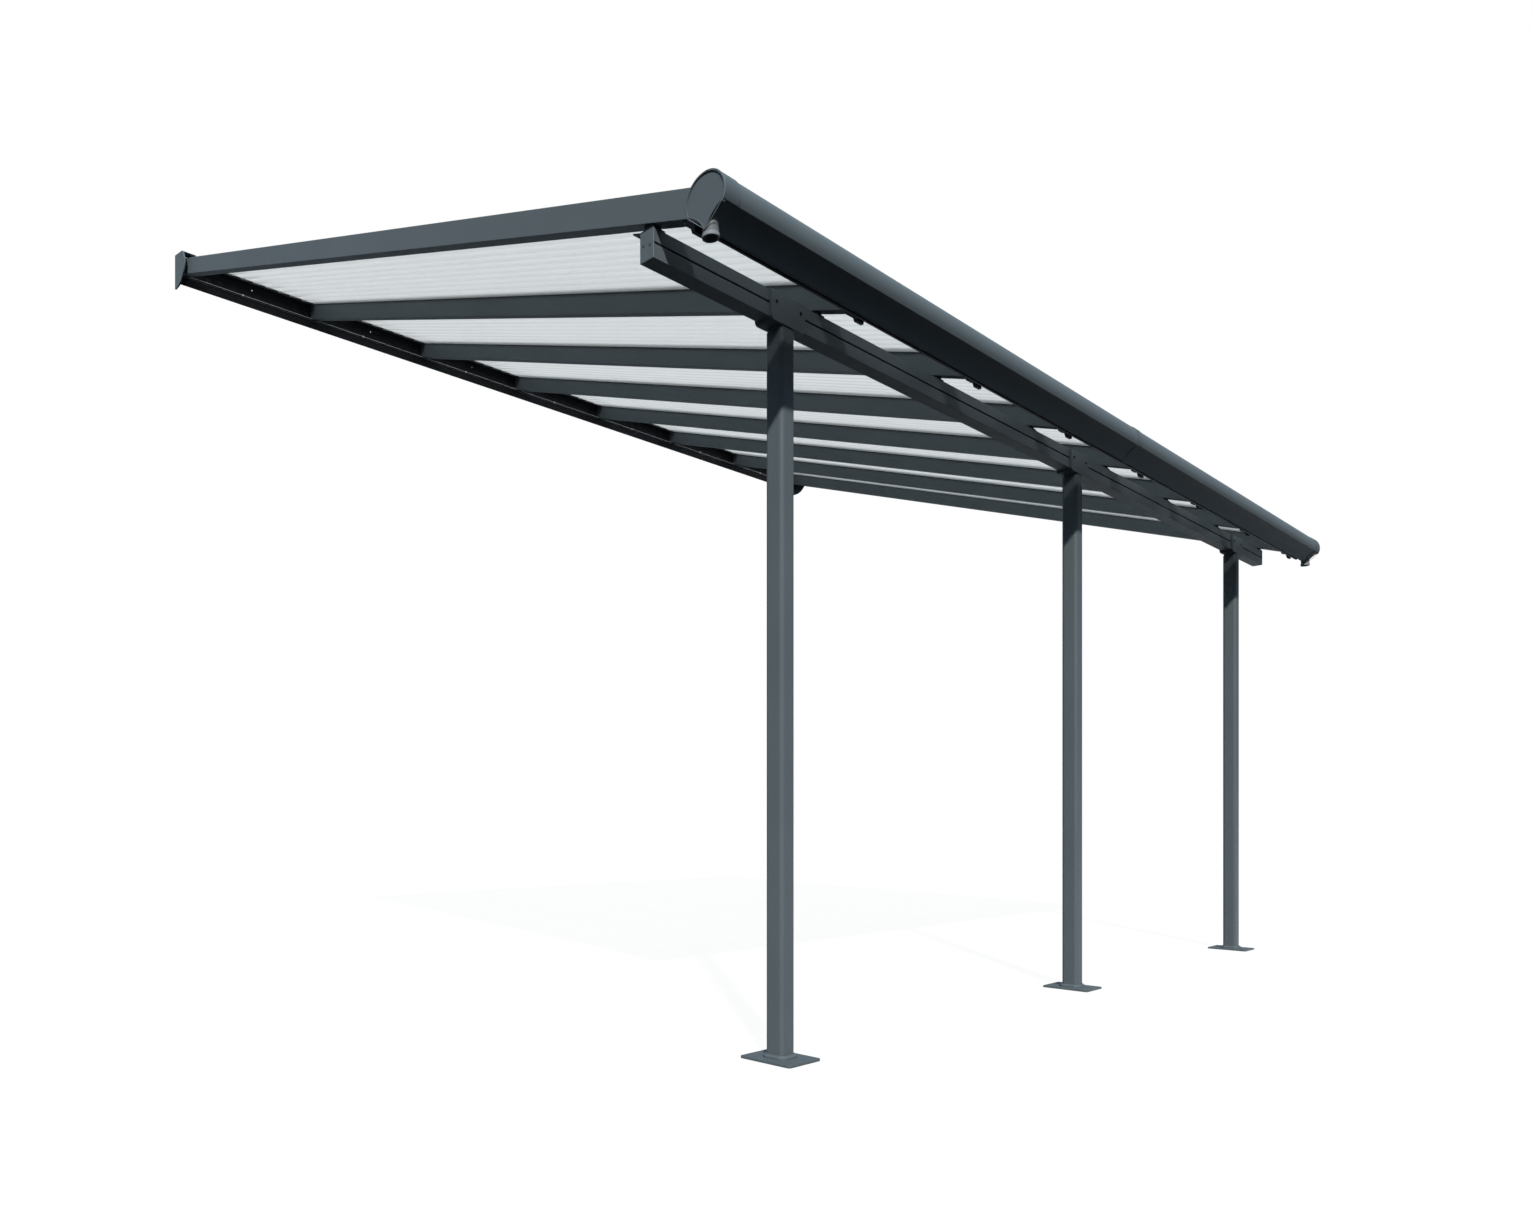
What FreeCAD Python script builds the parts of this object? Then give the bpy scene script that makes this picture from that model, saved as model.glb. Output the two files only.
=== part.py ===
import FreeCAD, Part
import math
import os

# A wall-fixed patio cover: eight sloping rafters with twin-wall roof panels between them,
# a drop-shaped gutter along the front, and a front beam on three posts.
# Millimetres. X runs along the wall, +Y points to the wall, +Z is up.
# The origin is on the ground, under the middle post.

os.makedirs("parts", exist_ok=True)

# Roof
bay_count = 7
pitch = 604.0
roof_mid_x = -44.0
wall_y = 2800.0
roof_z = 2006.6
roof_tan = 0.35709
panel_thick = 6.0
panel_play = 5.0
panel_front_y = -176.0
trim_depth = 14.0
trim_skin = 1.5

# Rafters
rafter_w = 34.0
end_rafter_w = 38.0
rafter_drop = 67.0
rafter_web_w = 8.0
gasket_h = 2.0
gasket_w = 7.0
gasket_out = 1.0
cover_w = 52.0
cover_thick = 6.0
cover_lip = 2.0
edge_cover_in = 10.0
edge_cover_rise = 4.5

# Wall profile
wall_profile_over = 15.0
wall_cap_thick = 6.0
wall_skin = 4.0
band_h = 37.0
band_reach = 12.0
band_drip = 5.0
ledge_reach = 18.0
ledge_thick = 4.0
face_reach = 8.0
groove_up = 32.0
groove_h = 3.0
groove_depth = 2.5
apron_reach = 26.0
apron_thick = 2.0
wall_bolt_up = 42.0
wall_bolt_r = 4.5
cap_nose = (79.5, 11.0)
cap_front = (104.5, 62.0)
cap_cheek = (84.0, 113.0)
cap_throat = (56.0, 136.0)
cap_chin = (20.0, 144.0)
return_from = 28.0
return_thick = 3.0
return_over = 1.0

# Gutter
gutter_y = -195.0
gutter_z = 1899.0
gutter_r = 53.0
gutter_skin = 2.5
gutter_over = 27.0
gutter_mouth_from = 28.0
gutter_mouth_to = 86.0
end_plate = 1.6
end_recess = 2.4
end_rim = 3.6
sleeve_len = 51.0
sleeve_skin = 1.5
tube_inset = 40.0
front_gap = 3.0
spout_r = 17.0
spout_bore_r = 14.8
spout_inset = 19.5
spout_len = 50.0
spout_mouth_z = 1820.5
gutter_joint_len = 40.0
rail_gap = 0.8
hanger_w = 30.0
hanger_up = 40.0
hanger_step = 6.0
hanger_nose = 13.0

# The drop's lower half and the rail behind it, in gutter radii from the gutter's centre
flank_angle = 25.0
flank_mid = (0.370, -0.755)
flank_end = (0.060, -1.181)
chin_drop = 1.223
rail_side = -0.557
rail_heel = (0.585, -0.934)
rail_toe = (0.462, -0.934)

# Front beam
beam_w = 41.0
beam_bottom_z = 1856.0
beam_h = 67.0
beam_skin = 2.5
slot_up = 34.7
slot_h = 5.0
slot_depth = 9.0
beam_cap_thick = 3.0
seat_plate = 3.5
seat_behind = 23.0
seat_core_w = 20.0
seat_core_in = 4.0

# Posts
post_x = (-1697.0, 0.0, 1702.0)
post_side = 54.0
post_corner_r = 11.0
post_skin = 2.5
post_gap = 7.0
bracket_len = 136.0
bracket_floor = 8.0
bracket_corner_r = 12.0
neck_in = 3.0
plug_len = 60.0

# Feet
foot_w = 130.0
foot_len = 156.0
foot_thick = 6.0
foot_corner_r = 8.0
collar_h = 10.0
collar_w = 9.0
collar_slope = 5.0

fit = 0.3
beam_top_z = beam_bottom_z + beam_h
floor_z = beam_bottom_z - bracket_floor
post_top_z = floor_z - post_gap
rafter_count = bay_count + 1
roof_half = bay_count * pitch / 2.0 + end_rafter_w / 2.0
rafter_front_y = gutter_y + gutter_r + sleeve_skin + front_gap


def roof(y, up=0.0):
    return roof_z + roof_tan * y + up


def rafter_x(k):
    return roof_mid_x + (k - bay_count / 2.0) * pitch


def rafter_half(k):
    return (end_rafter_w if k in (0, bay_count) else rafter_w) / 2.0


def box(x0, x1, y0, y1, z0, z1):
    return Part.makeBox(x1 - x0, y1 - y0, z1 - z0, FreeCAD.Vector(x0, y0, z0))


def prism(points, x0, x1):
    """Extrude a closed outline of (y, z) points along X."""
    corners = [FreeCAD.Vector(x0, y, z) for y, z in points]
    face = Part.Face(Part.makePolygon(corners + corners[:1]))
    return face.extrude(FreeCAD.Vector(x1 - x0, 0, 0))


def sloping_bar(y0, y1, low, high, x0, x1):
    """A bar that follows the roof slope, between two heights above the rafter tops."""
    corners = [(y0, roof(y0, low)), (y0, roof(y0, high)), (y1, roof(y1, high)), (y1, roof(y1, low))]
    return prism(corners, x0, x1)


def rounded_bar(width, depth, radius, z0, z1, x):
    """An upright bar with rounded corners, centred on the row of posts."""
    body = box(x - width / 2.0, x + width / 2.0, -depth / 2.0, depth / 2.0, z0, z1)
    upright = [e for e in body.Edges if abs(e.tangentAt(e.FirstParameter).z) > 0.99]
    return body.makeFillet(radius, upright)


def rounded_post(side, radius, z0, z1, x):
    return rounded_bar(side, side, radius, z0, z1, x)


def cylinder_y(radius, x, y0, y1, z):
    return Part.makeCylinder(radius, y1 - y0, FreeCAD.Vector(x, y0, z), FreeCAD.Vector(0, 1, 0))


def cylinder_z(radius, x, y, z0, z1):
    return Part.makeCylinder(radius, z1 - z0, FreeCAD.Vector(x, y, z0))


def save(name, shapes):
    shape = shapes if not isinstance(shapes, list) else Part.makeCompound(shapes)
    for solid in shape.Solids:
        assert solid.isValid(), name
    shape.exportStep("parts/" + name + ".step")
    print(name, len(shape.Solids), round(shape.Volume / 1e6, 3))


# Wall profile: a stepped face with a sloping ledge for the rafters, and an apron over the panels
def from_wall(points):
    return [(wall_y - reach, z) for reach, z in points]


ledge_z = roof(wall_y - ledge_reach, -rafter_drop - fit)
ledge_back_z = roof(wall_y - face_reach, -rafter_drop - fit)
band_top_z = ledge_z - ledge_thick
band_bottom_z = band_top_z - band_h
groove_z = ledge_z + groove_up
cap_top_z = roof(wall_y - face_reach, panel_thick + apron_thick + fit)


def wall_section():
    face = [(0, band_bottom_z + band_drip), (band_reach, band_bottom_z), (band_reach, band_top_z)]
    ledge = [(ledge_reach, band_top_z), (ledge_reach, ledge_z), (face_reach, ledge_back_z)]
    groove = [(face_reach, groove_z), (face_reach - groove_depth, groove_z),
              (face_reach - groove_depth, groove_z + groove_h), (face_reach, groove_z + groove_h)]
    pocket = [(face_reach, roof(wall_y - face_reach, -fit)), (wall_skin, roof(wall_y - wall_skin, -fit)),
              (wall_skin, cap_top_z - apron_thick),
              (face_reach, roof(wall_y - face_reach, panel_thick + fit)),
              (apron_reach, roof(wall_y - apron_reach, panel_thick + fit))]
    top = [(apron_reach, roof(wall_y - apron_reach, panel_thick + fit + apron_thick)),
           (face_reach, cap_top_z), (0, cap_top_z)]
    return from_wall(face + ledge + groove + pocket + top)


wall_x0 = roof_mid_x - roof_half - wall_profile_over
wall_x1 = roof_mid_x + roof_half + wall_profile_over
wall_bolt_z = ledge_z + wall_bolt_up
wall_profile = prism(wall_section(), wall_x0, wall_x1)
for bay in range(bay_count):
    if bay == bay_count // 2:
        continue
    bolt_x = rafter_x(bay) + pitch / 2.0
    hole = cylinder_y(wall_bolt_r, bolt_x, wall_y - face_reach - 1.0, wall_y + 1.0, wall_bolt_z)
    wall_profile = wall_profile.cut(hole)
save("wall_profile", wall_profile)


# Wall profile end caps: a plate with a full rounded front, and a return over the end rafter's top
def at_cap(x, point):
    reach, drop = point
    return FreeCAD.Vector(x, wall_y - reach, cap_top_z - drop)


def wall_cap(side):
    inner_x = roof_mid_x + side * (roof_half + wall_profile_over)
    outer_x = inner_x + side * wall_cap_thick
    nose, front, cheek = (at_cap(inner_x, p) for p in (cap_nose, cap_front, cap_cheek))
    throat, chin = (at_cap(inner_x, p) for p in (cap_throat, cap_chin))
    low_back = FreeCAD.Vector(inner_x, wall_y, chin.z)
    top_back = FreeCAD.Vector(inner_x, wall_y, cap_top_z)
    edges = [Part.Arc(nose, front, cheek).toShape(), Part.Arc(cheek, throat, chin).toShape(),
             Part.makeLine(chin, low_back), Part.makeLine(low_back, top_back), Part.makeLine(top_back, nose)]
    plate = Part.Face(Part.Wire(edges)).extrude(FreeCAD.Vector(outer_x - inner_x, 0, 0))
    reach, drop = cap_nose
    back_z = cap_top_z - drop * return_from / reach
    nose_z = cap_top_z - drop
    strip = from_wall([(return_from, back_z), (reach, nose_z), (reach, nose_z - return_thick),
                       (return_from, back_z - return_thick)])
    over = wall_profile_over + end_rafter_w + return_over
    return plate.fuse(prism(strip, inner_x - side * over, inner_x)).removeSplitter()


save("wall_profile_cap_left", wall_cap(-1))
save("wall_profile_cap_right", wall_cap(1))

# Rafters: a box under the panels. The inner ones have a web up to their cover
rafter_back_y = wall_y - face_reach - fit


def rafter(k):
    half = rafter_half(k)
    x = rafter_x(k)
    body = sloping_bar(rafter_front_y, rafter_back_y, -rafter_drop, -gasket_h, x - half, x + half)
    if k in (0, bay_count):
        return body
    web = sloping_bar(rafter_front_y, rafter_back_y, -gasket_h - 1.0, panel_thick,
                      x - rafter_web_w / 2.0, x + rafter_web_w / 2.0)
    return body.fuse(web).removeSplitter()


for k in range(rafter_count):
    save("rafter_%d" % (k + 1), rafter(k))

# Gaskets: a strip on each rafter edge that carries a panel
gaskets = []
for k in range(rafter_count):
    for side in (-1, 1):
        if (k == 0 and side < 0) or (k == bay_count and side > 0):
            continue
        edge = rafter_x(k) + side * (rafter_half(k) + gasket_out)
        inner = edge - side * gasket_w
        x0, x1 = min(edge, inner), max(edge, inner)
        gaskets.append(sloping_bar(rafter_front_y, rafter_back_y, -gasket_h, 0.0, x0, x1))
save("roof_gaskets", gaskets)

# Roof panels: one flat sheet a bay, with a channel over its front edge
trims = []
for k in range(bay_count):
    x0 = rafter_x(k) + rafter_web_w / 2.0 + panel_play
    x1 = rafter_x(k + 1) - rafter_web_w / 2.0 - panel_play
    save("roof_panel_%d" % (k + 1), sloping_bar(panel_front_y, rafter_back_y, 0.0, panel_thick, x0, x1))
    trim_back = panel_front_y + trim_depth
    shell = sloping_bar(panel_front_y - trim_skin, trim_back, -trim_skin, panel_thick + trim_skin, x0, x1)
    trims.append(shell.cut(sloping_bar(panel_front_y, trim_back + 1.0, 0.0, panel_thick, x0 - 1.0, x1 + 1.0)))
save("sheet_end_trims", trims)


# Glazing covers: a crowned bar over each inner rafter, and a one-sided edge bar on each end rafter
base = panel_thick + fit


def along_rafter(k, section, back):
    """Extrude an outline of (x, height over the rafter) points along the roof slope."""
    front = rafter_front_y
    corners = [FreeCAD.Vector(rafter_x(k) + x, front, roof(front, up)) for x, up in section]
    face = Part.Face(Part.makePolygon(corners + corners[:1]))
    return face.extrude(FreeCAD.Vector(0, back - front, (back - front) * roof_tan))


def inner_cover(k):
    half = cover_w / 2.0
    section = [(-half, base), (-half, base + cover_lip), (-half + cover_thick, base + cover_thick),
               (half - cover_thick, base + cover_thick), (half, base + cover_lip), (half, base)]
    return along_rafter(k, section, wall_y - apron_reach - cover_lip)


def edge_cover(k, inward):
    outer = edge_cover_in - end_rafter_w / 2.0
    heel = rafter_web_w / 2.0 + panel_play - fit
    half = cover_w / 2.0
    top = base + cover_thick - cover_lip / 2.0
    section = [(outer, -gasket_h), (heel, -gasket_h), (heel, base), (half, base), (half, base + cover_lip),
               (half - cover_thick, top), (heel, top), (outer, edge_cover_rise)]
    section = [(inward * x, up) for x, up in section]
    return along_rafter(k, section, wall_y - cap_nose[0] - cover_lip)


covers = [inner_cover(k) for k in range(1, bay_count)]
save("glazing_covers", [edge_cover(0, 1)] + covers + [edge_cover(bay_count, -1)])


# Gutter: a drop-shaped channel, round above with two hollow flanks that meet in a chin
def gutter_point(degrees, radius):
    a = math.radians(degrees)
    return (gutter_y + radius * math.cos(a), gutter_z + radius * math.sin(a))


def in_radii(point):
    return (gutter_y + point[0] * gutter_r, gutter_z + point[1] * gutter_r)


def moved_out(point, towards, grow):
    """Move a point by grow, square to the line towards another one."""
    dy = towards[0] - point[0]
    dz = towards[1] - point[1]
    length = math.hypot(dy, dz)
    return (point[0] - grow * dz / length, point[1] + grow * dy / length)


def flank_points(grow):
    """Start, middle and end of the rear flank, moved out by grow."""
    end = in_radii(flank_end)
    middle = in_radii(flank_mid)
    start = gutter_point(-flank_angle, gutter_r + grow)
    return [start, moved_out(middle, end, grow), moved_out(end, in_radii((0.0, -chin_drop)), grow * 0.7)]


def other_side(points):
    return [(2.0 * gutter_y - y, z) for y, z in points]


def arc_through(x, points):
    return Part.Arc(*[FreeCAD.Vector(x, y, z) for y, z in points]).toShape()


def lower_edges(x, grow):
    """Rear and front flank as arcs, with a short pointed chin between them."""
    rear = flank_points(grow)
    front = other_side(rear)
    tip = FreeCAD.Vector(x, gutter_y, gutter_z - chin_drop * gutter_r - grow)
    chin = [Part.makeLine(FreeCAD.Vector(x, *points[2]), tip) for points in (rear, front)]
    return [arc_through(x, rear), arc_through(x, front)] + chin


def round_edge(x, start, end, radius):
    middle = (start + end) / 2.0
    return arc_through(x, [gutter_point(a, radius) for a in (start, middle, end)])


def drop_face(x, grow):
    top = round_edge(x, 180.0 + flank_angle, -flank_angle, gutter_r + grow)
    return Part.Face(Part.Wire(Part.sortEdges(lower_edges(x, grow) + [top])[0]))


def channel(x0, x1, inner, outer):
    """The open channel between two offsets of the drop outline."""
    edges = []
    for grow in (inner, outer):
        radius = gutter_r + grow
        edges += lower_edges(x0, grow)
        edges.append(round_edge(x0, gutter_mouth_from, -flank_angle, radius))
        edges.append(round_edge(x0, 180.0 + flank_angle, gutter_mouth_to, radius))
    for degrees in (gutter_mouth_from, gutter_mouth_to):
        lip = [FreeCAD.Vector(x0, *gutter_point(degrees, gutter_r + grow)) for grow in (inner, outer)]
        edges.append(Part.makeLine(*lip))
    return Part.Face(Part.Wire(Part.sortEdges(edges)[0])).extrude(FreeCAD.Vector(x1 - x0, 0, 0))


gutter_half = roof_half + gutter_over
gutter_x0 = roof_mid_x - gutter_half
gutter_x1 = roof_mid_x + gutter_half
save("gutter_left", channel(gutter_x0 + tube_inset, roof_mid_x - 1.0, -gutter_skin, 0.0))
save("gutter_right", channel(roof_mid_x + 1.0, gutter_x1 - tube_inset, -gutter_skin, 0.0))
save("gutter_joint", channel(roof_mid_x - gutter_joint_len / 2.0, roof_mid_x + gutter_joint_len / 2.0,
                             fit, sleeve_skin))


# Gutter end caps: a drop-shaped cup with a rim round a sunk face, and a turned spout
def spout(x):
    z = spout_mouth_z
    outline = [(spout_bore_r, z), (spout_r, z), (spout_r, z + spout_len), (spout_bore_r, z + spout_len)]
    corners = [FreeCAD.Vector(x + r, gutter_y, up) for r, up in outline]
    face = Part.Face(Part.makePolygon(corners + corners[:1]))
    return face.revolve(FreeCAD.Vector(x, gutter_y, 0), FreeCAD.Vector(0, 0, 1), 360)


def gutter_cap(side):
    face_x = roof_mid_x + side * gutter_half
    spout_x = face_x - side * spout_inset
    cup = drop_face(face_x, sleeve_skin).extrude(FreeCAD.Vector(-side * sleeve_len, 0, 0))
    cup = cup.cut(drop_face(face_x, sleeve_skin - end_rim).extrude(FreeCAD.Vector(-side * end_recess, 0, 0)))
    plate_x = face_x - side * (end_recess + end_plate)
    hollow = drop_face(plate_x, fit).extrude(FreeCAD.Vector(-side * sleeve_len, 0, 0))
    mouth = [(gutter_y, gutter_z)]
    for step in range(5):
        degrees = gutter_mouth_from + (gutter_mouth_to - gutter_mouth_from) * step / 4.0
        mouth.append(gutter_point(degrees, gutter_r * 1.5))
    cup = cup.cut(hollow).cut(prism(mouth, plate_x, plate_x - side * sleeve_len))
    cup = cup.fuse(spout(spout_x).cut(hollow))
    bore = cylinder_z(spout_bore_r, spout_x, gutter_y, spout_mouth_z - 1.0, spout_mouth_z + spout_len)
    return cup.cut(bore).removeSplitter()


save("gutter_cap_left", gutter_cap(-1))
save("gutter_cap_right", gutter_cap(1))

# Gutter rail: a solid bar behind the rear flank, from cap to cap
rail_back_y = gutter_y + gutter_r + sleeve_skin - fit
clear = flank_points(sleeve_skin + rail_gap)
rail = [clear[0], (rail_back_y, clear[0][1]), (rail_back_y, gutter_z + rail_side * gutter_r),
        in_radii(rail_heel), in_radii(rail_toe), clear[1]]
save("gutter_rail", prism(rail, gutter_x0 + sleeve_len + 1.0, gutter_x1 - sleeve_len - 1.0))

# Gutter hangers: a hooked block under each rafter end, tight behind the rail
hanger_y = rail_back_y + 2.0 * fit
hanger_front_y = rafter_front_y - fit
rail_low_z = in_radii(rail_heel)[1]
rafter_low_z = roof(rafter_front_y, -rafter_drop)
hanger_back_y = rafter_front_y + hanger_w
hanger = [(hanger_y, rafter_low_z + hanger_up), (hanger_front_y, rafter_low_z + hanger_up),
          (hanger_front_y, rafter_low_z - fit), (hanger_back_y, roof(hanger_back_y, -rafter_drop - fit)),
          (hanger_back_y, rafter_low_z - fit),
          (rafter_front_y + 2.0 * hanger_step, rafter_low_z - hanger_step),
          (rafter_front_y + hanger_step, rail_low_z + hanger_nose), (hanger_y, rail_low_z + hanger_nose)]
hangers = []
for k in range(rafter_count):
    hangers.append(prism(hanger, rafter_x(k) - hanger_w / 2.0, rafter_x(k) + hanger_w / 2.0))
save("gutter_hangers", hangers)

# Front beam: a hollow bar with a groove along its front
beam_x0 = roof_mid_x - roof_half + beam_cap_thick
beam_x1 = roof_mid_x + roof_half - beam_cap_thick
front_y = -beam_w / 2.0
slot_z = beam_bottom_z + slot_up
beam = box(beam_x0, beam_x1, front_y, -front_y, beam_bottom_z, beam_top_z)
inner = box(beam_x0 - 1, beam_x1 + 1, front_y + slot_depth + beam_skin, -front_y - beam_skin,
            beam_bottom_z + beam_skin, beam_top_z - beam_skin)
groove = box(beam_x0 - 1, beam_x1 + 1, front_y - 1, front_y + slot_depth, slot_z - slot_h / 2.0,
             slot_z + slot_h / 2.0)
save("front_beam", beam.cut(inner).cut(groove))


def beam_cap(x0):
    return box(x0, x0 + beam_cap_thick, front_y, -front_y, beam_bottom_z, beam_top_z)


save("beam_cap_left", beam_cap(beam_x0 - beam_cap_thick))
save("beam_cap_right", beam_cap(beam_x1))

# Rafter seats: a bent plate on the beam that reaches behind it, with a core up to the rafter
seat_end_y = -front_y + seat_behind
seat_end_z = beam_top_z + seat_behind * roof_tan
plate_z = beam_top_z + seat_plate
bent_plate = [(front_y, beam_top_z), (-front_y, beam_top_z), (seat_end_y, seat_end_z),
              (seat_end_y, seat_end_z + seat_plate), (-front_y, plate_z), (front_y, plate_z)]
core_y = -front_y - seat_core_in
seat_core = [(-core_y, plate_z), (-core_y, roof(-core_y, -rafter_drop)), (core_y, roof(core_y, -rafter_drop)),
             (core_y, plate_z)]


def seat(k):
    core_half = seat_core_w / 2.0
    plate = prism(bent_plate, rafter_x(k) - rafter_half(k), rafter_x(k) + rafter_half(k))
    return plate.fuse(prism(seat_core, rafter_x(k) - core_half, rafter_x(k) + core_half)).removeSplitter()


save("rafter_seats", [seat(k) for k in range(rafter_count)])

# Posts, the saddle brackets on them and the feet
names = ("left", "middle", "right")
foot_top_z = foot_thick + collar_h
for name, px in zip(names, post_x):
    half = post_side / 2.0
    tube = rounded_post(post_side, post_corner_r, foot_thick, post_top_z, px)
    tube = tube.cut(rounded_post(post_side - 2 * post_skin, post_corner_r - post_skin, foot_thick - 1,
                                 post_top_z + 1, px))
    save("post_" + name, tube)

    saddle = box(px - bracket_len / 2.0, px + bracket_len / 2.0, -half, half, floor_z, beam_top_z)
    low_edges = [e for e in saddle.Edges if e.BoundBox.ZMax < floor_z + 1]
    ends = [e for e in low_edges if abs(e.tangentAt(e.FirstParameter).y) > 0.99]
    saddle = saddle.makeFillet(bracket_corner_r, ends)
    saddle = saddle.cut(box(px - bracket_len, px + bracket_len, front_y, -front_y,
                            beam_bottom_z, beam_top_z + 1))
    neck = rounded_post(post_side - 2 * neck_in, post_corner_r - neck_in, post_top_z, floor_z + 1.0, px)
    plug = rounded_post(post_side - 2 * post_skin - 1.0, post_corner_r - neck_in, post_top_z - plug_len,
                        post_top_z + 1.0, px)
    save("post_bracket_" + name, saddle.fuse(neck).fuse(plug).removeSplitter())

    plate = rounded_bar(foot_w, foot_len, foot_corner_r, 0.0, foot_thick, px)
    collar = rounded_post(post_side + 2 * collar_w, post_corner_r + collar_w, foot_thick, foot_top_z, px)
    crown = [e for e in collar.Edges if e.BoundBox.ZMin > foot_top_z - 0.1]
    collar = collar.makeChamfer(collar_slope, crown)
    foot = plate.fuse(collar)
    foot = foot.cut(rounded_post(post_side + 2 * fit, post_corner_r + fit, foot_thick, foot_top_z + 1.0, px))
    save("foot_" + name, foot)
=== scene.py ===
import math

import bmesh
import bpy
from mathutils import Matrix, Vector


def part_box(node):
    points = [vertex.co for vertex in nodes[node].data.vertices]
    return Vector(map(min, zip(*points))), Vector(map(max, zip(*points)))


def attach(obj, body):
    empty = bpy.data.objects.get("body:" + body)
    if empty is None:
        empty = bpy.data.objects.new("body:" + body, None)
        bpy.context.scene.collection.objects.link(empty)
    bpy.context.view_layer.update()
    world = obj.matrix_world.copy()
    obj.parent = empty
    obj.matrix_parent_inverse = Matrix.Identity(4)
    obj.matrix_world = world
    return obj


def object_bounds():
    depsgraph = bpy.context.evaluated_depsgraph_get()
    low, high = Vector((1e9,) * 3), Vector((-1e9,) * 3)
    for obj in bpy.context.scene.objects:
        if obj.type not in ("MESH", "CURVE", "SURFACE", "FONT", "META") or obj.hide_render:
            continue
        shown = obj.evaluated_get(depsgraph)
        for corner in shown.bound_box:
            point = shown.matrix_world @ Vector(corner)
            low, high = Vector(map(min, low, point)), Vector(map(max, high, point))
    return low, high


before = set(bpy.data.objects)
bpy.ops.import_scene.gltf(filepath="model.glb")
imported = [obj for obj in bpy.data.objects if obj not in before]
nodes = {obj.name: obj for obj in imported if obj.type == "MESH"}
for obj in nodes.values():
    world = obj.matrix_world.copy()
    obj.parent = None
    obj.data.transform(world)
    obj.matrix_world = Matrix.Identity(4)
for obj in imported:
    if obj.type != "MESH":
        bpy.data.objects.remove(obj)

# A wall-fixed patio cover in dark powder-coated aluminium with translucent ribbed roof sheets.
# Metres. X runs along the wall, +Y points to the wall, +Z is up.

cad_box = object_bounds()
ends = (("left", -1), ("right", 1))
sheet_numbers = range(1, 8)

# View
photo_size = (1532, 1225)
camera_at = Vector((-3.8266, -1.6307, 0.611))
camera_turn = 49.18
focal_px = 1035.5
axis_px = (565.0, 818.35)
sensor_mm = 36.0
clip_far = 200.0

# Colours, as linear values
paint_colour = (0.087, 0.105, 0.114)
moulding_colour = (0.086, 0.105, 0.115)
# The gaskets' own black, also used as painted shade under the sheets' upper ends
gasket_and_shade_black = (0.012, 0.012, 0.013)
# Painted shade: a near-black copy of the frame paint, for parts that stand in shade; the screws take
# it too
painted_shade_and_screw_black = (0.012, 0.013, 0.015)
spout_colour = (0.135, 0.145, 0.148)
sheet_colour = (0.87, 0.88, 0.86)
# Painted highlight: light grey for the ledge's beads, drawn as lit lines in the shade
ledge_highlight_grey = (0.52, 0.54, 0.56)
# Painted highlight on the caps' rim beads; the spout sockets have this light grey as their own colour
rim_highlight_and_socket_grey = (0.20, 0.22, 0.235)
zinc_colour = (0.80, 0.80, 0.80)
white = (1.0, 1.0, 1.0)

# Mottling: the darkest and lightest shares of a colour
metal_tones = (0.95, 1.05)
spout_tones = (0.92, 1.05)
rubber_tones = (0.8, 1.25)
sheet_tones = (0.99, 1.01)

# Uneven figures: noise scale, noise detail, lowest and highest result
coat_mottle = (3.0, 3.0, 0.0, 1.0)
coat_roughness = (45.0, 4.0, 0.40, 0.48)
moulding_mottle = (12.0, 3.0, 0.0, 1.0)
moulding_roughness = (120.0, 3.0, 0.42, 0.52)
rubber_mottle = (30.0, 2.0, 0.0, 1.0)
rubber_roughness = (200.0, 2.0, 0.62, 0.78)
sheet_cloud = (0.8, 1.0, 0.0, 1.0)
noise_range = (0.3, 0.7)

# Grain: noise scale and strength
coat_grain = (900.0, 0.08)
moulding_grain = (1600.0, 0.16)
rubber_grain = (1200.0, 0.2)
grain_detail = 2.0
grain_height = 0.0004
soft_edge_r = 0.0012

# Gloss by the way a face looks: matt below the first Z of the normal, satin above the second
gloss_under = 0.015
gloss_level = 0.10
gloss_turn = (-0.25, -0.02)

# Roof sheets. A band gives the rib distances at which a line starts and is full
ribs_per_sheet = 13
fine_per_rib = 4.0
teeth_per_sheet = 10
rib_band = (0.20, 0.50)
fine_band = (0.1, 0.5)
tooth_band = (0.34, 0.47)
rib_weight = 0.42
fine_weight = 0.08
# Painted shade: dark streaks by the wall stand in for the shade under the wall profile, seen along
# the ribs
shade_streak_weight = 2.2
shade_streak_reach = 0.24
shade_streak_gap = 0.01
wall_fade = 0.6
line_shade = 0.38
sheet_roughness = (0.30, 0.38)
sheet_gloss = 0.35
sheet_cover = 0.40
sheet_translucent = 0.22

# Painted shade: black scalloped strips under the sheets' upper ends, where they meet the wall profile
panel_thick = 0.006
tooth_depth = 0.050
tooth_round = 0.7
tooth_points = 8
tooth_sink = 0.0022
scallop_gap = 0.004
scallop_slant = 0.001
scallop_under = 0.0003

# Screws. A head is listed as shares of its radius and height, from its foot to the socket's floor
bracket_screw_r = 0.0042
bracket_screw_off = 0.049
bracket_screw_z = 1.8965
ledge_screw_r = 0.0046
ledge_screw_from = 0.245
ledge_screw_up = 0.0405
head_height = 0.62
head_profile = ((1.0, 0.0), (1.0, 0.35), (0.92, 0.72), (0.7, 1.0), (0.48, 1.0), (0.44, 0.3))

# The beam caps' screws: places as (y, height over the cap's foot), heads as (radius share, height)
small_screw_r = 0.0034
small_screw_steps = 16
small_screw_spots = ((-0.0097, 0.0316), (0.0109, 0.0358))
small_screw_profile = ((1.0, -0.0004), (0.9, 0.0003), (0.5, 0.0003), (0.4, -0.0006))

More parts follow.
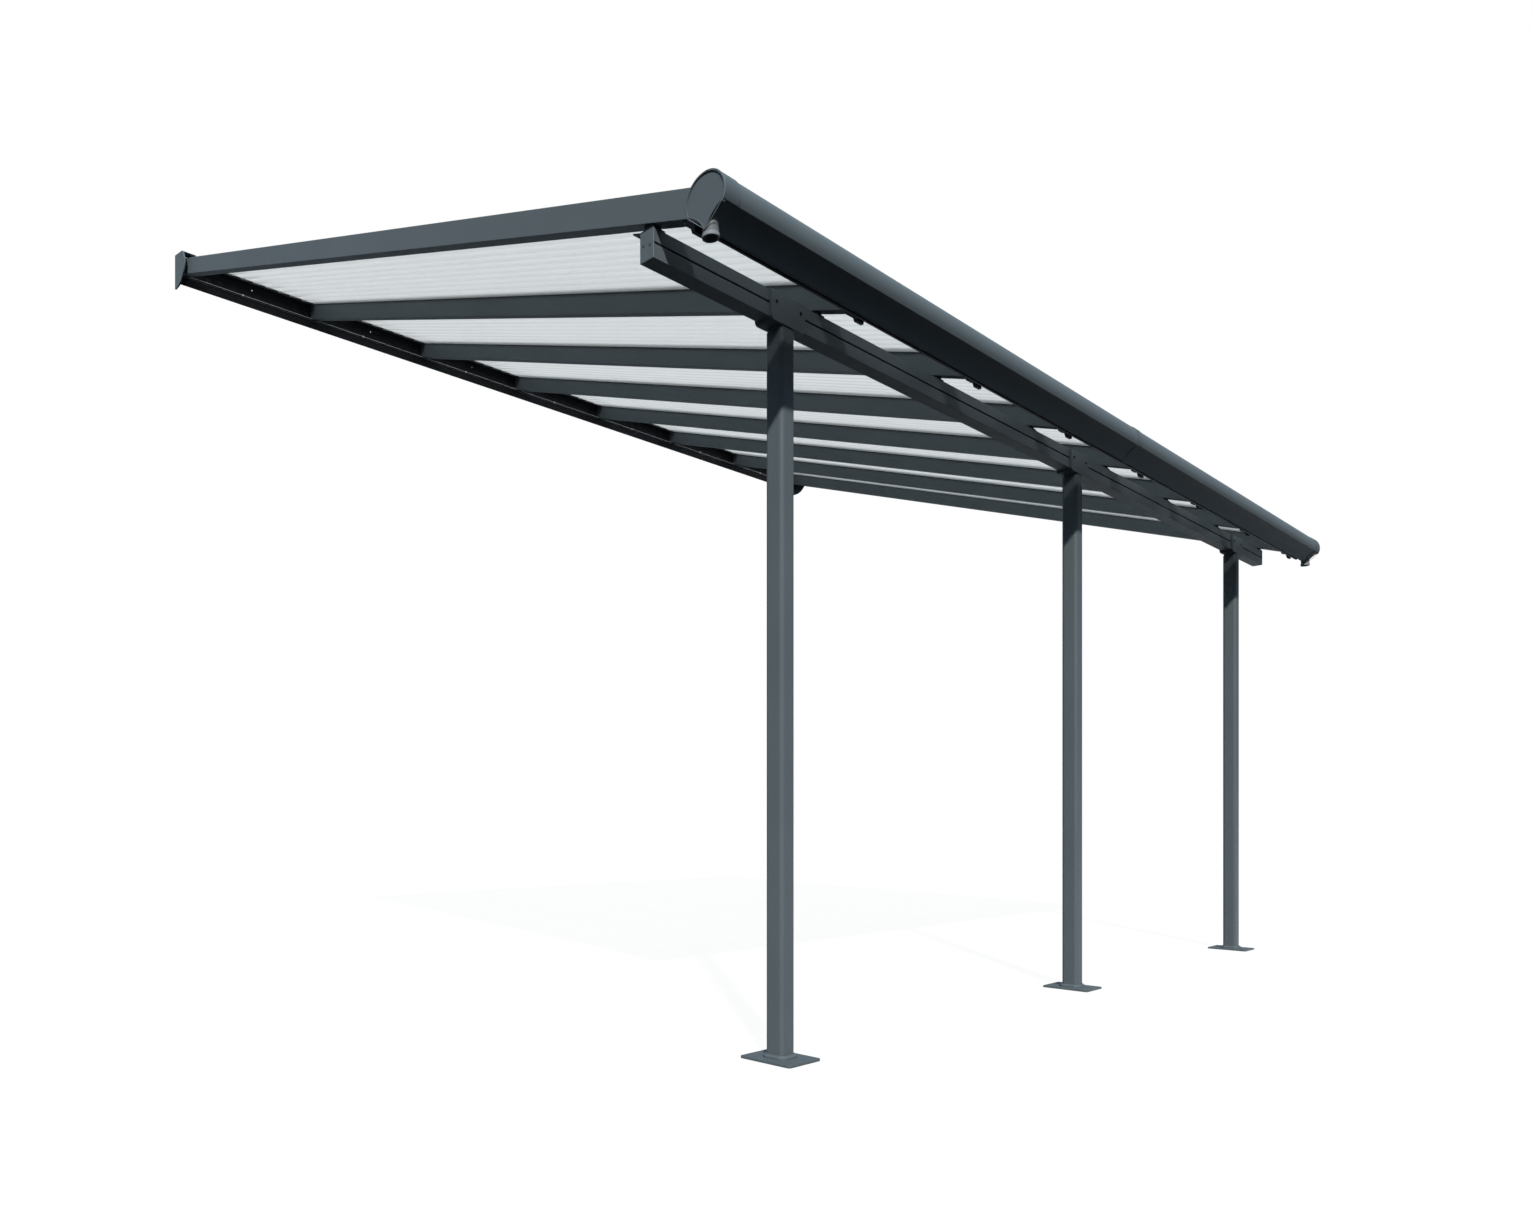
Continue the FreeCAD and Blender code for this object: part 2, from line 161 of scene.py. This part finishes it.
# Gutter end caps: catches as (radius share, height), spout rings as (past the spout's radius, height)
catch_r = 0.0030
catch_inset = 0.8
catch_depth = 0.008
catch_steps = 16
catch_angles = (96.0, 210.0, 330.0)
catch_profile = ((1.0, 0.0), (1.0, 0.0075), (0.75, 0.008))
spout_inset = 0.0195
spout_r = 0.017
spout_h = 0.0345
spout_slack = 0.0001
ring_step = 6
ring_profile = ((-0.0003, 0.0002), (0.0012, 0.0002), (0.0014, 0.0012),
                (0.0014, 0.0078), (0.0008, 0.0088), (-0.0003, 0.0092))

# Beads on the caps' rims and on the wall profile's ledge, in light grey as painted highlight lines
rim_r = 0.0009
rim_sink = 0.3
rim_steps = 8
face_slack = 0.00002
bead_r = 0.0016
bead_sink = 0.35
bead_steps = 8
bead_gap = 0.001
band_reach = 0.012
band_top_up = 0.037
ledge_reach = 0.018
ledge_up = 0.041

# Stage and light
floor_size = 120.0
floor_drop = 0.0005
floor_colour = (0.86, 0.86, 0.86)
floor_bounce = (0.020, 0.020, 0.021)
floor_glow = 0.95
sun_towards = Vector((0.93, 1.0, -1.10))
sun_colour = (1.0, 0.985, 0.95)
sun_strength = 4.6
sun_spread = 2.0
sky_colour = (0.74, 0.98, 1.24)
sky_low = 0.08
sky_high = 0.80


# Shader helpers
def new_material(name):
    mat = bpy.data.materials.new(name)
    mat.use_nodes = True
    tree = mat.node_tree
    return mat, tree, tree.nodes["Principled BSDF"]


def add(tree, kind, **settings):
    node = tree.nodes.new(kind)
    for key, value in settings.items():
        setattr(node, key, value)
    return node


def feed(tree, value, socket):
    """Link a node's output to a socket, or set a colour or a number on it."""
    if isinstance(value, bpy.types.NodeSocket):
        tree.links.new(value, socket)
    elif isinstance(value, tuple):
        socket.default_value = value + (1.0,)
    else:
        socket.default_value = value


def object_coords(tree):
    return add(tree, "ShaderNodeTexCoord").outputs["Object"]


def split_xyz(tree, vector):
    node = add(tree, "ShaderNodeSeparateXYZ")
    feed(tree, vector, node.inputs["Vector"])
    return node.outputs


def noise(tree, coords, scale, detail):
    node = add(tree, "ShaderNodeTexNoise")
    node.inputs["Scale"].default_value = scale
    node.inputs["Detail"].default_value = detail
    feed(tree, coords, node.inputs["Vector"])
    return node.outputs["Fac"]


def ramp(tree, value, results, values):
    """Stretch a range of values to a range of results, and stop at its ends."""
    node = add(tree, "ShaderNodeMapRange")
    node.inputs["From Min"].default_value, node.inputs["From Max"].default_value = values
    node.inputs["To Min"].default_value, node.inputs["To Max"].default_value = results
    feed(tree, value, node.inputs["Value"])
    return node.outputs["Result"]


def uneven(tree, coords, figures):
    scale, detail, lowest, highest = figures
    return ramp(tree, noise(tree, coords, scale, detail), (lowest, highest), noise_range)


def maths(tree, operation, *values):
    node = add(tree, "ShaderNodeMath", operation=operation)
    for value, socket in zip(values, node.inputs):
        feed(tree, value, socket)
    return node.outputs["Value"]


def blend_colours(tree, factor, first, second):
    node = add(tree, "ShaderNodeMix", data_type="RGBA")
    feed(tree, factor, node.inputs["Factor"])
    for name, colour in (("A", first), ("B", second)):
        feed(tree, colour, [s for s in node.inputs if s.name == name and s.type == "RGBA"][0])
    return [s for s in node.outputs if s.type == "RGBA"][0]


def mix_surfaces(tree, factor, first, second):
    """Blend two shaders and hand the result to the material's output."""
    mix = add(tree, "ShaderNodeMixShader")
    for value, socket in zip((factor, first, second), mix.inputs):
        feed(tree, value, socket)
    feed(tree, mix.outputs["Shader"], tree.nodes["Material Output"].inputs["Surface"])


def shade(colour, factor):
    return tuple(min(1.0, c * factor) for c in colour)


def mottled(tree, factor, colour, tones):
    return blend_colours(tree, factor, shade(colour, tones[0]), shade(colour, tones[1]))


def grain(tree, shader, coords, figures, edge_radius=0.0):
    """Fine relief, over softened edges where a radius is given."""
    scale, strength = figures
    bump = add(tree, "ShaderNodeBump")
    bump.inputs["Strength"].default_value = strength
    bump.inputs["Distance"].default_value = grain_height
    feed(tree, noise(tree, coords, scale, grain_detail), bump.inputs["Height"])
    if edge_radius:
        edge = add(tree, "ShaderNodeBevel", samples=4)
        edge.inputs["Radius"].default_value = edge_radius
        feed(tree, edge.outputs["Normal"], bump.inputs["Normal"])
    feed(tree, bump.outputs["Normal"], shader.inputs["Normal"])


def gloss(tree, shader):
    """Satin on top and on upright faces, matt underneath."""
    normal = split_xyz(tree, add(tree, "ShaderNodeNewGeometry").outputs["Normal"])
    level = ramp(tree, normal["Z"], (gloss_under, gloss_level), gloss_turn)
    feed(tree, level, shader.inputs["Specular IOR Level"])


# Materials
def powder_coat(name, tone):
    """Fine matt powder coat: slight mottling, orange peel and softened edges."""
    mat, tree, shader = new_material(name)
    coords = object_coords(tree)
    colour = mottled(tree, uneven(tree, coords, coat_mottle), tone, metal_tones)
    feed(tree, colour, shader.inputs["Base Color"])
    feed(tree, uneven(tree, coords, coat_roughness), shader.inputs["Roughness"])
    gloss(tree, shader)
    grain(tree, shader, coords, coat_grain, soft_edge_r)
    return mat


def near_spout(tree, coords):
    """One on the spouts under the gutter's end caps and zero elsewhere."""
    low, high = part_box("gutter_cap_left")
    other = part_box("gutter_cap_right")[1].x
    middle = (low.x + other) / 2.0
    reach = (other - low.x) / 2.0 - spout_inset
    place = split_xyz(tree, coords)
    from_middle = maths(tree, "ABSOLUTE", maths(tree, "SUBTRACT", place["X"], middle))
    across = maths(tree, "SUBTRACT", from_middle, reach)
    deep = maths(tree, "SUBTRACT", place["Y"], (low.y + high.y) / 2.0)
    square = maths(tree, "ADD", maths(tree, "MULTIPLY", across, across),
                   maths(tree, "MULTIPLY", deep, deep))
    inside = maths(tree, "LESS_THAN", square, (spout_r + spout_slack) ** 2)
    below = maths(tree, "LESS_THAN", place["Z"], low.z + spout_h)
    return maths(tree, "MULTIPLY", inside, below)


def moulded_cap():
    """Moulded end caps with a faint pebbled grain, and a lighter spout."""
    mat, tree, shader = new_material("moulded_cap")
    coords = object_coords(tree)
    mottle = uneven(tree, coords, moulding_mottle)
    body = mottled(tree, mottle, moulding_colour, metal_tones)
    pipe = mottled(tree, mottle, spout_colour, spout_tones)
    colour = blend_colours(tree, near_spout(tree, coords), body, pipe)
    feed(tree, colour, shader.inputs["Base Color"])
    feed(tree, uneven(tree, coords, moulding_roughness), shader.inputs["Roughness"])
    gloss(tree, shader)
    grain(tree, shader, coords, moulding_grain, soft_edge_r)
    return mat


def black_gasket_and_shade():
    """Dull black rubber with sharp edges, for the gaskets. The same black also paints the shade under
    the sheets' upper ends.
    """
    mat, tree, shader = new_material("black_gasket_and_shade")
    coords = object_coords(tree)
    colour = mottled(tree, uneven(tree, coords, rubber_mottle), gasket_and_shade_black, rubber_tones)
    feed(tree, colour, shader.inputs["Base Color"])
    feed(tree, uneven(tree, coords, rubber_roughness), shader.inputs["Roughness"])
    grain(tree, shader, coords, rubber_grain)
    return mat


def rib_distance(tree, across, start, spacing):
    """Half at a rib and zero midway between two ribs."""
    steps = maths(tree, "DIVIDE", maths(tree, "SUBTRACT", across, start), spacing)
    return maths(tree, "ABSOLUTE", maths(tree, "SUBTRACT", maths(tree, "FRACT", steps), 0.5))


def ribbed_sheet(k):
    """Twin-wall sheet: soft grey lines at the ribs, milky light through, and painted shade as dark
    streaks by the wall.
    """
    mat, tree, shader = new_material("ribbed_sheet_%d" % k)
    coords = object_coords(tree)
    place = split_xyz(tree, coords)
    low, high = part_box("roof_panel_%d" % k)
    width = high.x - low.x
    rib_space = width / ribs_per_sheet

    def lines(spacing, band):
        return ramp(tree, rib_distance(tree, place["X"], low.x, spacing), (0.0, 1.0), band)

    wall_near = ramp(tree, place["Y"], (0.0, 1.0), (high.y - shade_streak_reach, high.y - shade_streak_gap))
    ribs = maths(tree, "ADD",
                 maths(tree, "MULTIPLY", lines(rib_space, rib_band), rib_weight),
                 maths(tree, "MULTIPLY", lines(rib_space / fine_per_rib, fine_band), fine_weight))
    kept = maths(tree, "SUBTRACT", 1.0, maths(tree, "MULTIPLY", wall_near, wall_fade))
    # Painted shade: dark streaks at the tooth edges, fading out away from the wall
    shade_streaks = maths(tree, "MULTIPLY", lines(width / teeth_per_sheet, tooth_band), wall_near)
    dark = maths(tree, "ADD", maths(tree, "MULTIPLY", ribs, kept),
                 maths(tree, "MULTIPLY", shade_streaks, shade_streak_weight))
    clear = mottled(tree, uneven(tree, coords, sheet_cloud), sheet_colour, sheet_tones)
    colour = blend_colours(tree, maths(tree, "MINIMUM", dark, 1.0), clear,
                           shade(sheet_colour, line_shade))
    feed(tree, colour, shader.inputs["Base Color"])
    distance = rib_distance(tree, place["X"], low.x, rib_space)
    feed(tree, ramp(tree, distance, sheet_roughness, (0.0, 0.5)), shader.inputs["Roughness"])
    shader.inputs["Alpha"].default_value = sheet_cover
    shader.inputs["Specular IOR Level"].default_value = sheet_gloss
    light = add(tree, "ShaderNodeBsdfTranslucent")
    feed(tree, colour, light.inputs["Color"])
    mix_surfaces(tree, sheet_translucent, shader.outputs["BSDF"], light.outputs["BSDF"])
    return mat


def pale_ground(name):
    """White to look at, with a faint shadow left in it. It throws little light back up."""
    mat, tree, shader = new_material(name)
    path = add(tree, "ShaderNodeLightPath").outputs
    seen = maths(tree, "MAXIMUM", path["Is Camera Ray"], path["Is Glossy Ray"])
    seen = maths(tree, "MAXIMUM", seen, path["Is Transmission Ray"])
    colour = blend_colours(tree, seen, floor_bounce, floor_colour)
    feed(tree, colour, shader.inputs["Base Color"])
    shader.inputs["Roughness"].default_value = 1.0
    shader.inputs["Specular IOR Level"].default_value = 0.0
    glow = add(tree, "ShaderNodeEmission")
    feed(tree, white, glow.inputs["Color"])
    mix_surfaces(tree, maths(tree, "MULTIPLY", path["Is Camera Ray"], floor_glow),
                 shader.outputs["BSDF"], glow.outputs["Emission"])
    return mat


paint = powder_coat("powder_coat", paint_colour)
# Painted shade: the near-black copy of the powder coat
painted_shade_and_screw_paint = powder_coat("painted_shade_and_screw_coat", painted_shade_and_screw_black)
# Painted highlight: the ledge beads' light grey
ledge_highlight_paint = powder_coat("ledge_highlight_coat", ledge_highlight_grey)
moulding = moulded_cap()
gasket_and_shade_rubber = black_gasket_and_shade()
# Painted highlight on the cap rims, and the spout sockets' own grey
rim_highlight_and_socket_paint = powder_coat("rim_highlight_and_socket_coat", rim_highlight_and_socket_grey)
zinc = powder_coat("zinc_plate", zinc_colour)


def finish_for(name):
    if name.startswith("roof_panel"):
        return ribbed_sheet(int(name.split("_")[-1]))
    if name == "roof_gaskets":
        return gasket_and_shade_rubber
    # Painted shade: the wall profile, rafter seats, gutter rail and hangers are the frame's paint,
    # drawn near-black as if in shade
    if name in ("wall_profile", "rafter_seats", "gutter_rail", "gutter_hangers"):
        return painted_shade_and_screw_paint
    if "_cap_" in name:
        return moulding
    return paint


for name, node in nodes.items():
    finish = finish_for(name)
    for slot in node.material_slots:
        slot.material = finish


# Mesh helpers
def mesh_piece(name, build, material):
    mesh = bpy.data.meshes.new(name)
    bm = bmesh.new()
    build(bm)
    bmesh.ops.recalc_face_normals(bm, faces=bm.faces)
    bm.to_mesh(mesh)
    bm.free()
    piece = bpy.data.objects.new(name, mesh)
    bpy.context.scene.collection.objects.link(piece)
    mesh.materials.append(material)
    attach(piece, "root")


def skin(bm, rings, closed=False):
    """Join neighbouring rings of points, and the last to the first if closed. Else cap both ends."""
    following = rings[1:] + rings[:1] if closed else rings[1:]
    for near, far in zip(rings, following):
        for i in range(len(near)):
            j = (i + 1) % len(near)
            bm.faces.new((near[i], near[j], far[j], far[i]))
    if not closed:
        bm.faces.new(rings[0][::-1])
        bm.faces.new(rings[-1])


def turned(bm, centre, axis, profile, steps=24):
    """Turn a profile of (radius, height) round an axis that starts at centre."""
    axis = axis.normalized()
    side = axis.orthogonal().normalized()
    other = axis.cross(side)
    rings = []
    for radius, height in profile:
        ring = []
        for i in range(steps):
            a = 2.0 * math.pi * i / steps
            spoke = side * math.cos(a) + other * math.sin(a)
            ring.append(bm.verts.new(centre + axis * height + spoke * radius))
        rings.append(ring)
    skin(bm, rings)


def socket_screw(bm, centre, axis, radius):
    """A low domed head with a round socket sunk in it."""
    height = radius * head_height
    turned(bm, centre, axis, [(radius * r, height * h) for r, h in head_profile])


def end_face(low, high, out):
    """X of the outer face of a piece at the left (out = -1) or right end."""
    return low.x if out < 0 else high.x


# Painted shade: black scalloped strips where the roof sheets meet the wall profile
def scalloped_shade_strips(bm):
    for k in sheet_numbers:
        low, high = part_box("roof_panel_%d" % k)
        slope = (high.z - low.z - panel_thick) / (high.y - low.y)
        tooth = (high.x - low.x) / teeth_per_sheet
        under = high.z - panel_thick
        edge = []
        for i in range(teeth_per_sheet):
            for s in range(tooth_points):
                part = s / tooth_points
                reach = tooth_depth * math.sin(math.pi * part) ** tooth_round
                edge.append((low.x + (i + part) * tooth, high.y - scallop_gap - reach))
        edge.append((high.x, high.y - scallop_gap))
        rings = []
        for x, y in edge:
            z = under - (high.y - y) * slope
            corners = ((x, y, z - scallop_under), (x, y + scallop_slant, z - tooth_sink),
                       (x, high.y, under - tooth_sink), (x, high.y, under - scallop_under))
            rings.append([bm.verts.new(corner) for corner in corners])
        skin(bm, rings)


# Screws
def bracket_screws(bm):
    for side in ("left", "middle", "right"):
        low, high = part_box("post_bracket_" + side)
        middle = (low.x + high.x) / 2.0
        for across in (-bracket_screw_off, bracket_screw_off):
            for y, out in ((low.y, -1), (high.y, 1)):
                at = Vector((middle + across, y, bracket_screw_z))
                socket_screw(bm, at, Vector((0, out, 0)), bracket_screw_r)


def beam_cap_screws(bm):
    head = [(small_screw_r * r, h) for r, h in small_screw_profile]
    for side, out in ends:
        low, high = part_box("beam_cap_" + side)
        x = end_face(low, high, out)
        for y, up in small_screw_spots:
            at = Vector((x, y, low.z + up))
            turned(bm, at, Vector((out, 0, 0)), head, small_screw_steps)


def ledge_screws(bm):
    low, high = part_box("wall_profile")
    for k in sheet_numbers:
        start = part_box("roof_panel_%d" % k)[0].x
        at = Vector((start + ledge_screw_from, high.y - ledge_reach, low.z + ledge_screw_up))
        socket_screw(bm, at, Vector((0, -1, 0)), ledge_screw_r)


# Details of the end caps and the ledge
def gutter_catches(bm):
    """Small round catches on the rim of each gutter end cap."""
    profile = [(catch_r * r, h) for r, h in catch_profile]
    for side, out in ends:
        low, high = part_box("gutter_cap_" + side)
        radius = (high.y - low.y) / 2.0
        reach = radius - catch_r * catch_inset
        x = end_face(low, high, out) - out * catch_depth
        for degrees in catch_angles:
            a = math.radians(degrees)
            at = Vector((x, (low.y + high.y) / 2.0 + reach * math.cos(a),
                         high.z - radius + reach * math.sin(a)))
            turned(bm, at, Vector((out, 0, 0)), profile, catch_steps)


def spout_rings(bm):
    """A slightly wider socket round the mouth of each spout."""
    angles = [math.radians(a) for a in range(0, 360, ring_step)]
    for side, out in ends:
        low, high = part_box("gutter_cap_" + side)
        x = end_face(low, high, out) - out * spout_inset
        y = (low.y + high.y) / 2.0
        rings = []
        for past, height in ring_profile:
            radius = spout_r + past
            rings.append([bm.verts.new((x + radius * math.cos(a), y + radius * math.sin(a),
                                        low.z + height)) for a in angles])
        skin(bm, rings, closed=True)


def outline_of(name, out):
    """Convex outline of a cap's outer face, seen along X, in order round its edge."""
    low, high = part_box(name)
    face_x = end_face(low, high, out)
    node = nodes[name]
    points = set()
    for vert in node.data.vertices:
        at = node.matrix_world @ vert.co
        if abs(at.x - face_x) < face_slack:
            points.add((round(at.y, 5), round(at.z, 5)))
    points = sorted(points)

    def half(row):
        kept = []
        for y, z in row:
            while len(kept) > 1:
                (y0, z0), (y1, z1) = kept[-2:]
                if (y1 - y0) * (z - z0) - (z1 - z0) * (y - y0) > 0:
                    break
                kept.pop()
            kept.append((y, z))
        return kept[:-1]

    return face_x, half(points) + half(points[::-1])


def cap_rims(bm):
    """A fine moulded bead round the outer edge of every end cap, kept within the CAD box. Its light
    grey paint is a painted highlight along the rim.
    """
    for kind in ("gutter_cap_", "beam_cap_", "wall_profile_cap_"):
        for side, out in ends:
            face_x, loop = outline_of(kind + side, out)
            mid_y = sum(p[0] for p in loop) / len(loop)
            mid_z = sum(p[1] for p in loop) / len(loop)
            rings = []
            for y, z in loop:
                outward = Vector((0.0, y - mid_y, z - mid_z)).normalized()
                centre = Vector((face_x - out * rim_r, y, z)) - outward * rim_r * rim_sink
                ring = []
                for i in range(rim_steps):
                    a = 2.0 * math.pi * i / rim_steps
                    spoke = outward * math.cos(a) + Vector((1, 0, 0)) * math.sin(a)
                    at = centre + spoke * rim_r
                    at = [min(max(c, lo), hi) for c, lo, hi in zip(at, cad_box[0], cad_box[1])]
                    ring.append(bm.verts.new(at))
                rings.append(ring)
            skin(bm, rings, closed=True)


def ledge_bead(bm):
    """Two fine beads along the front edge of the wall profile's ledge, painted light grey as a
    highlight line.
    """
    low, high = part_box("wall_profile")
    profile = [(bead_r, 0.0), (bead_r, high.x - low.x - 2.0 * bead_gap)]
    for reach, up in ((band_reach, band_top_up), (ledge_reach, ledge_up)):
        at = Vector((low.x + bead_gap, high.y - reach + bead_r * bead_sink, low.z + up))
        turned(bm, at, Vector((1, 0, 0)), profile, bead_steps)


# Painted shade: black scalloped strips under the sheets' upper ends
mesh_piece("scalloped_shade_strips", scalloped_shade_strips, gasket_and_shade_rubber)
mesh_piece("bracket_screws", bracket_screws, painted_shade_and_screw_paint)
mesh_piece("beam_cap_screws", beam_cap_screws, painted_shade_and_screw_paint)
mesh_piece("ledge_screws", ledge_screws, zinc)
# Painted highlight: light grey beads along the ledge
mesh_piece("ledge_bead", ledge_bead, ledge_highlight_paint)
mesh_piece("gutter_catches", gutter_catches, moulding)
mesh_piece("spout_rings", spout_rings, rim_highlight_and_socket_paint)
# Painted highlight: light grey beads round the caps' rims
mesh_piece("cap_rims", cap_rims, rim_highlight_and_socket_paint)


# Stage, light and camera
def floor():
    bpy.ops.mesh.primitive_plane_add(size=floor_size, location=(0.0, 0.0, -floor_drop))
    plane = bpy.context.object
    plane.name = "studio_floor"
    plane.data.materials.append(pale_ground("studio_floor"))


def sky():
    """White to the camera. Its light is bluish and grows from the horizon upwards."""
    world = bpy.data.worlds.new("studio")
    bpy.context.scene.world = world
    world.use_nodes = True
    tree = world.node_tree
    back = tree.nodes["Background"]
    place = split_xyz(tree, add(tree, "ShaderNodeTexCoord").outputs["Generated"])
    level = ramp(tree, place["Z"], (sky_low, sky_high), (0.0, 1.0))
    to_camera = add(tree, "ShaderNodeLightPath").outputs["Is Camera Ray"]
    feed(tree, maths(tree, "MAXIMUM", level, to_camera), back.inputs["Strength"])
    feed(tree, blend_colours(tree, to_camera, sky_colour, white), back.inputs["Color"])


def soft_sun():
    data = bpy.data.lights.new("sun", "SUN")
    data.energy = sun_strength
    data.color = sun_colour
    data.angle = math.radians(sun_spread)
    lamp = bpy.data.objects.new("sun", data)
    lamp.rotation_euler = sun_towards.to_track_quat("-Z", "Y").to_euler()
    bpy.context.scene.collection.objects.link(lamp)


def camera():
    """A level camera with the photo's focal length and shifted picture."""
    data = bpy.data.cameras.new("photo_view")
    data.sensor_width = sensor_mm
    data.lens = sensor_mm * focal_px / photo_size[0]
    data.shift_x = (photo_size[0] / 2.0 - axis_px[0]) / photo_size[0]
    data.shift_y = (axis_px[1] - photo_size[1] / 2.0) / photo_size[0]
    data.clip_end = clip_far
    view = bpy.data.objects.new("photo_view", data)
    view.location = camera_at
    view.rotation_euler = (math.radians(90.0), 0.0, math.radians(camera_turn - 90.0))
    bpy.context.scene.collection.objects.link(view)
    bpy.context.scene.camera = view


floor()
sky()
soft_sun()
camera()
bpy.context.scene.view_settings.view_transform = "Standard"
